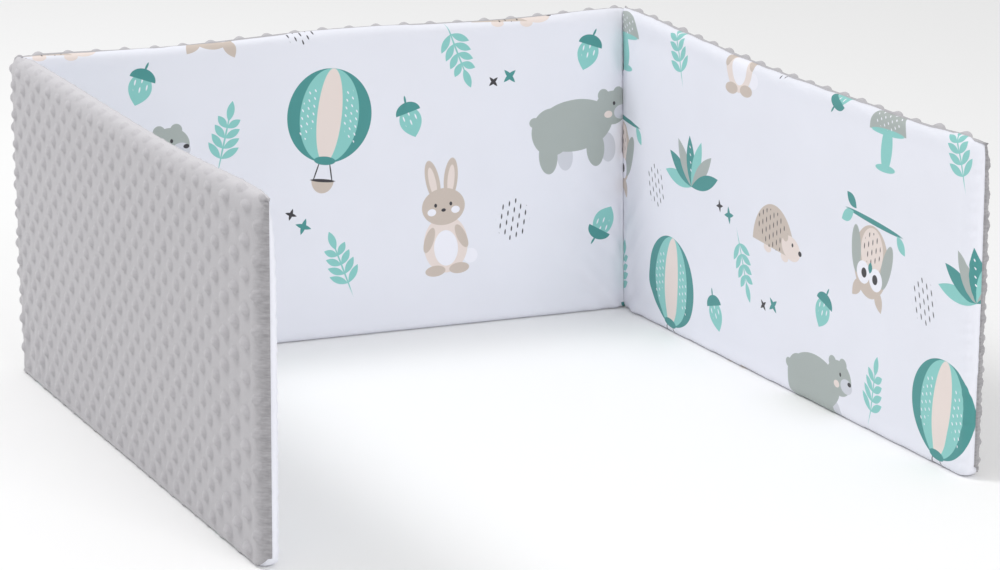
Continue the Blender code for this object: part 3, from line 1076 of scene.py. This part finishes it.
def cover_depth(panel, cloth_across, cloth_up, dots, sunk, from_rim):
    """How far the cover stands out past the CAD model, or lies in it."""
    depth = (dots - 1) * sunk + PROUD * eased(from_rim, 0.0, SEAM_FADE)
    from_tip = np.where(
        cloth_across < cloth_across[-1] / 2,
        cloth_across + (1.0 if panel.start_fold else 0.0),
        cloth_across[-1] - cloth_across + (1.0 if panel.end_fold else 0.0),
    )
    upright = 1 - eased(cloth_up, *(cloth_up[-1] - reach for reach in TIP_LIFT_TOP))
    depth += TIP_LIFT * (1 - eased(from_tip, *LIFT_FADE))[None, :] * upright[:, None]
    if panel.crest_turn > OVER_CREST:
        depth += CREST_LIFT * (1 - eased(cloth_up[-1] - cloth_up, *LIFT_FADE))[:, None]
    return depth + soft_folds(panel, cloth_across, cloth_up) * eased(from_rim, 0.0, COVER_FADE)


def rimmed(grid):
    """A grid with its border repeated once around it."""
    around = ((1, 1), (1, 1), (0, 0))
    return np.pad(grid, around[:grid.ndim], "edge")


def cover_mesh(name, grid, shares):
    """The mesh of a grid of points, with one vertex attribute for each share."""
    body = bmesh.new()
    for share in shares:
        body.verts.layers.float.new(share)
    layers = [body.verts.layers.float[share] for share in shares]
    segments = {"x_segments": grid.shape[1] - 1, "y_segments": grid.shape[0] - 1}
    bmesh.ops.create_grid(body, size=1.0, **segments)
    values = zip(*(share.ravel() for share in shares.values()))
    for vertex, place, own in zip(body.verts, grid.reshape(-1, 3), values):
        vertex.co = place
        for layer, value in zip(layers, own):
            vertex[layer] = value
    bmesh.ops.reverse_faces(body, faces=body.faces)
    bmesh.ops.remove_doubles(body, verts=body.verts, dist=SAME_POINT)
    mesh = bpy.data.meshes.new(name)
    body.to_mesh(mesh)
    body.free()
    return mesh


def plush_cover(panel, material, settings):
    step = DOT_PITCH / DOT_STEPS
    columns, rows = cover_columns(panel, step), cover_rows(panel, step)
    cloth_across = np.array([column.cloth for column in columns])
    cloth_up = np.array([row.cloth for row in rows])
    grid = smoothed(cover_grid(panel, columns, rows), GRID_SMOOTHINGS)
    normals = grid_normals(grid)
    dots, gather_shade = dot_relief(panel, cloth_across, cloth_up)
    from_rim = np.minimum(
        np.minimum(cloth_up[:, None], cloth_up[-1] - cloth_up[:, None]),
        np.minimum(cloth_across[None, :], cloth_across[-1] - cloth_across[None, :]),
    )
    sunk = SEAM_SUNK + (1 - SEAM_SUNK) * eased(from_rim, 0.0, SEAM_FADE)
    depth = cover_depth(panel, cloth_across, cloth_up, dots, settings.dot_height * sunk, from_rim)
    grid, normals = rimmed(grid + normals * depth[:, :, None]), rimmed(normals)
    skirt = np.ones(grid.shape[:2], dtype=bool)
    skirt[1:-1, 1:-1] = False
    grid[skirt] -= normals[skirt] * SKIRT_DEPTH
    # The crest's painted highlight, fading down from the seam; only a little of it where the cover stops
    # short of OVER_CREST.
    from_crest = (cloth_up[-1] - cloth_up)[:, None] + 0 * dots
    pale_and_highlight = 1.0 if panel.crest_turn > OVER_CREST else CREST_PALE
    crest = np.exp(-(from_crest / CREST_BAND) ** 2) * pale_and_highlight
    # The dots' height, the gathered folds and the crest band, which the plush material turns into painted
    # highlight and painted shade.
    shares = {"dot": rimmed(dots * sunk), "gather_shade": rimmed(gather_shade), "crest": rimmed(crest)}
    mesh = cover_mesh("plush_cover_" + panel.name, grid, shares)
    piece = finished(mesh.name, mesh, material, "plush_" + panel.name)


# The studio


def soft_light(name, place, size, power):
    """A square light that shines on the middle of the floor."""
    light = bpy.data.lights.new(name, "AREA")
    light.energy = power
    light.size = size
    turn = (-place).to_track_quat("-Z", "Y").to_matrix().to_4x4()
    linked(name, light).matrix_world = Matrix.Translation(place) @ turn


def stage(settings):
    """The camera, a pale floor and soft light from all round, the upper left and the front."""
    scene = bpy.context.scene
    ahead = Vector((
        math.sin(settings.yaw) * math.cos(settings.pitch),
        math.cos(settings.yaw) * math.cos(settings.pitch),
        math.sin(settings.pitch),
    ))
    level = Vector((math.cos(settings.yaw), -math.sin(settings.yaw), 0))
    upward = level.cross(ahead)
    right = level * math.cos(settings.roll) + upward * math.sin(settings.roll)
    over = upward * math.cos(settings.roll) - level * math.sin(settings.roll)
    camera = bpy.data.cameras.new("camera")
    camera.lens = settings.lens
    camera.sensor_width = 36
    camera.shift_x, camera.shift_y = settings.shift
    camera.clip_end = 50
    holder = linked("camera", camera)
    turn = Matrix((right, over, -ahead)).transposed().to_4x4()
    holder.matrix_world = Matrix.Translation(settings.camera_place) @ turn
    scene.camera = holder

    constants = {"Base Color": FLOOR_WHITE, "Specular IOR Level": 0.1}
    material, shader, start = new_material("floor_paper", constants)
    grain = start.node("ShaderNodeTexCoord", output=3).noise(3.0)
    (grain * 0.02 + 0.90).into(shader.inputs["Roughness"])
    body = bmesh.new()
    bmesh.ops.create_grid(body, x_segments=2, y_segments=2, size=FLOOR_SIZE / 2)
    mesh = bpy.data.meshes.new("floor")
    body.to_mesh(mesh)
    body.free()
    floor = linked("floor", mesh)
    mesh.materials.append(material)

    world = bpy.data.worlds.new("studio")
    scene.world = world
    world.use_nodes = True
    background = world.node_tree.nodes["Background"]
    background.inputs["Color"].default_value = (1.0, 1.0, 1.0, 1.0)
    background.inputs["Strength"].default_value = settings.daylight

    soft_light("key", KEY_PLACE, KEY_SIZE, settings.key_power)
    soft_light("fill", FILL_PLACE, FILL_SIZE, settings.fill_power)
    scene.view_settings.view_transform = "Standard"


# Operators


class CRIBBUMPER_OT_cotton(bpy.types.Operator):
    """Fill the three pads and dress them in printed cotton"""

    bl_idname = "crib_bumper.cotton"
    bl_label = "Cotton pads"

    def execute(self, context):
        settings = context.scene.crib_bumper_cotton
        material = cotton_material(settings)
        for panel in PANELS:
            cotton_pad(panel, material, settings)
        return {"FINISHED"}


class CRIBBUMPER_OT_plush(bpy.types.Operator):
    """Cover the outside of the three pads with dotted plush"""

    bl_idname = "crib_bumper.plush"
    bl_label = "Plush covers"

    def execute(self, context):
        settings = context.scene.crib_bumper_plush
        material = plush_material(settings)
        for panel in PANELS:
            plush_cover(panel, material, settings)
        return {"FINISHED"}


class CRIBBUMPER_OT_stage(bpy.types.Operator):
    """Set up the camera, the floor and the light"""

    bl_idname = "crib_bumper.stage"
    bl_label = "Studio"

    def execute(self, context):
        stage(context.scene.crib_bumper_stage)
        return {"FINISHED"}


class CRIBBUMPER_PT_panel(bpy.types.Panel):
    """The pieces of the crib bumper and their settings"""

    bl_label = "Crib Bumper"
    bl_idname = "CRIBBUMPER_PT_panel"
    bl_space_type = "VIEW_3D"
    bl_region_type = "UI"
    bl_category = "Crib Bumper"

    def draw(self, context):
        for piece in SETTINGS:
            box = self.layout.box()
            group = getattr(context.scene, "crib_bumper_" + piece)
            for name in group.bl_rna.properties.keys():
                if name not in ("rna_type", "name"):
                    box.prop(group, name)
            box.operator("crib_bumper." + piece)


SETTINGS = {"cotton": CottonSettings, "plush": PlushSettings, "stage": StageSettings}
CLASSES = (
    *SETTINGS.values(),
    CRIBBUMPER_OT_cotton, CRIBBUMPER_OT_plush, CRIBBUMPER_OT_stage, CRIBBUMPER_PT_panel,
)


def register():
    for item in CLASSES:
        bpy.utils.register_class(item)
    for piece, group in SETTINGS.items():
        setattr(bpy.types.Scene, "crib_bumper_" + piece, bpy.props.PointerProperty(type=group))


def unregister():
    for piece in SETTINGS:
        delattr(bpy.types.Scene, "crib_bumper_" + piece)
    for item in reversed(CLASSES):
        bpy.utils.unregister_class(item)


def main():
    register()
    bpy.ops.crib_bumper.cotton()
    bpy.ops.crib_bumper.plush()
    bpy.ops.crib_bumper.stage()


if __name__ == "__main__":
    main()
